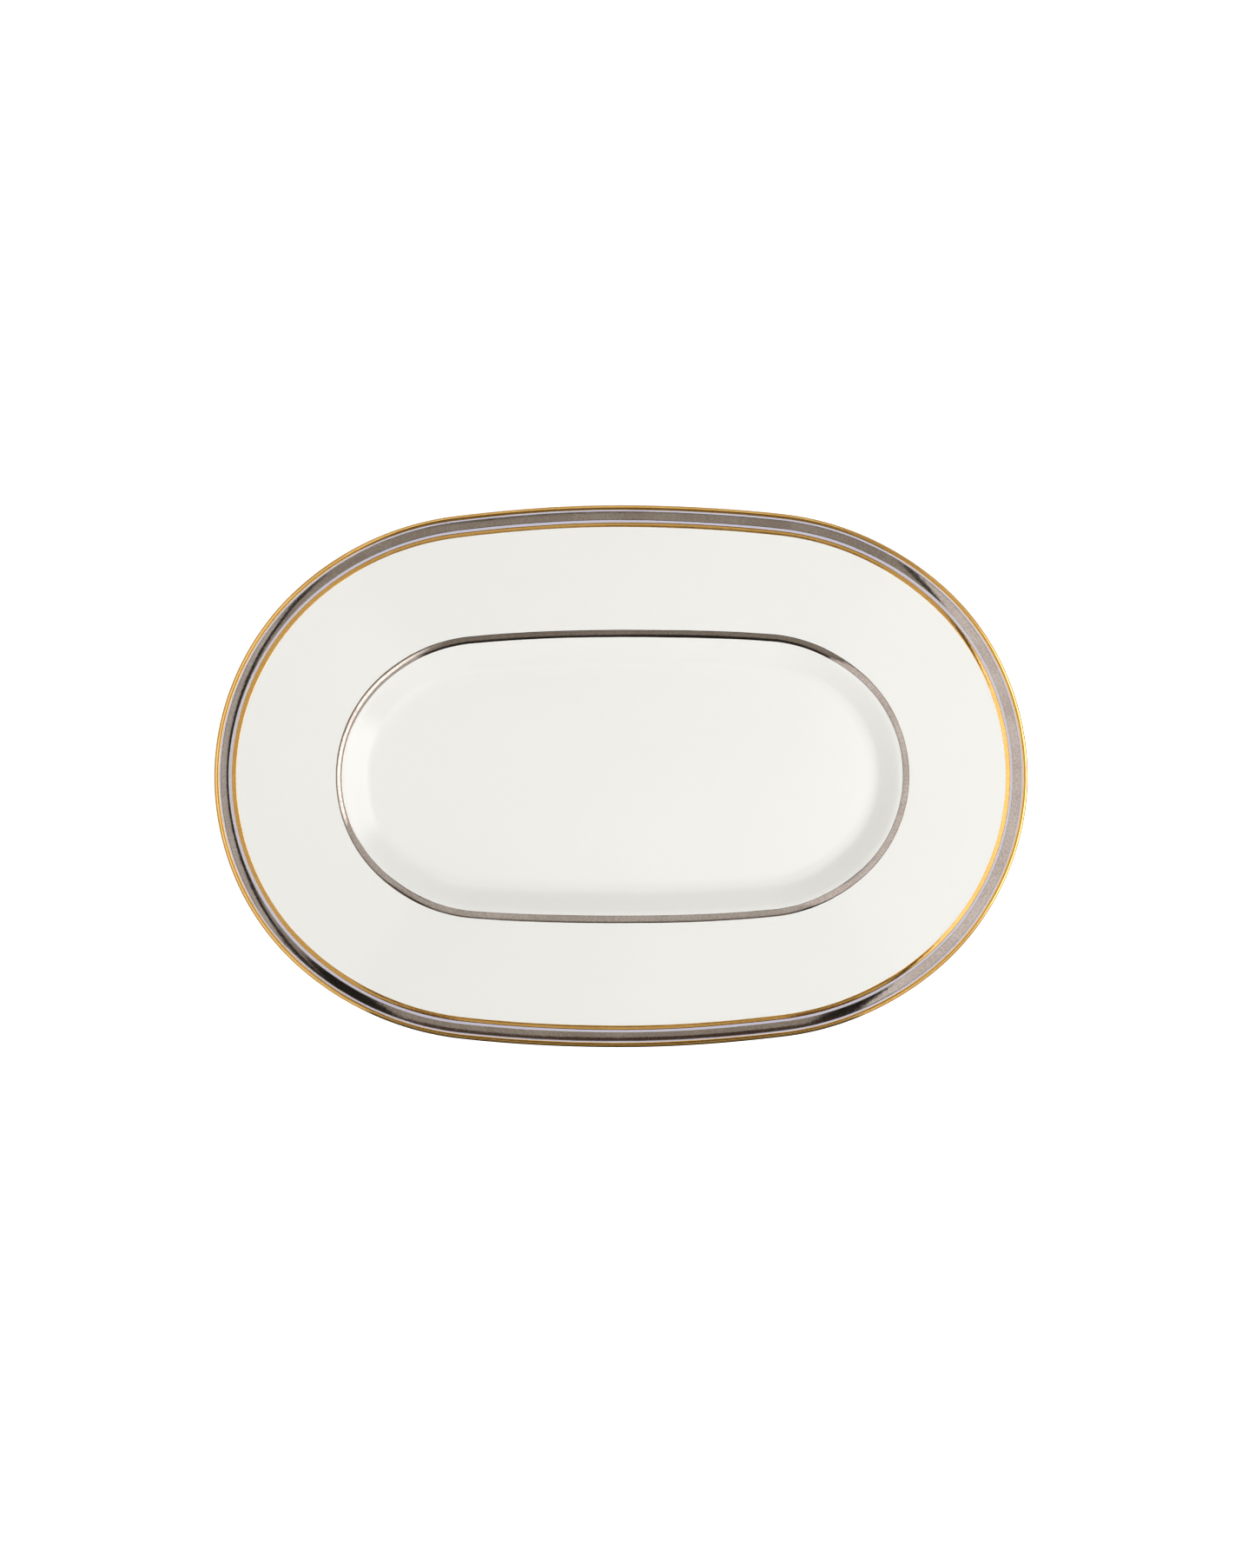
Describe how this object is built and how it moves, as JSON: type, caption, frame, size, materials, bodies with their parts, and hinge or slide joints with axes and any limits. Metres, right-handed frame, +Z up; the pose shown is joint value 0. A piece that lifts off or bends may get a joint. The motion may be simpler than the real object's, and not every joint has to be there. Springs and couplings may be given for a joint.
{
  "type": "oval serving platter",
  "caption": "Oval china serving platter with a wide sloping rim, gold and platinum lines, a shallow flat well and a foot ring; holds food for serving.",
  "frame": {"origin": "on the table under the middle of the platter", "axes": "+X along the platter's long side, +Z up out of the well"},
  "size_m": [0.36, 0.24, 0.0299],
  "materials": {
    "porcelain": "unglazed fired porcelain, matt",
    "glaze": "clear gloss glaze over warm white porcelain",
    "gold": "bright fired gold",
    "platinum": "bright fired platinum, slightly mottled"
  },
  "bodies": {
    "root": {"porcelain_body": "porcelain", "upper_glaze": "glaze", "base_glaze": "glaze", "gold_edge_line": "gold", "platinum_rim_band": "platinum", "gold_inner_line": "gold", "platinum_verge_line": "platinum"}
  },
  "joints": []
}
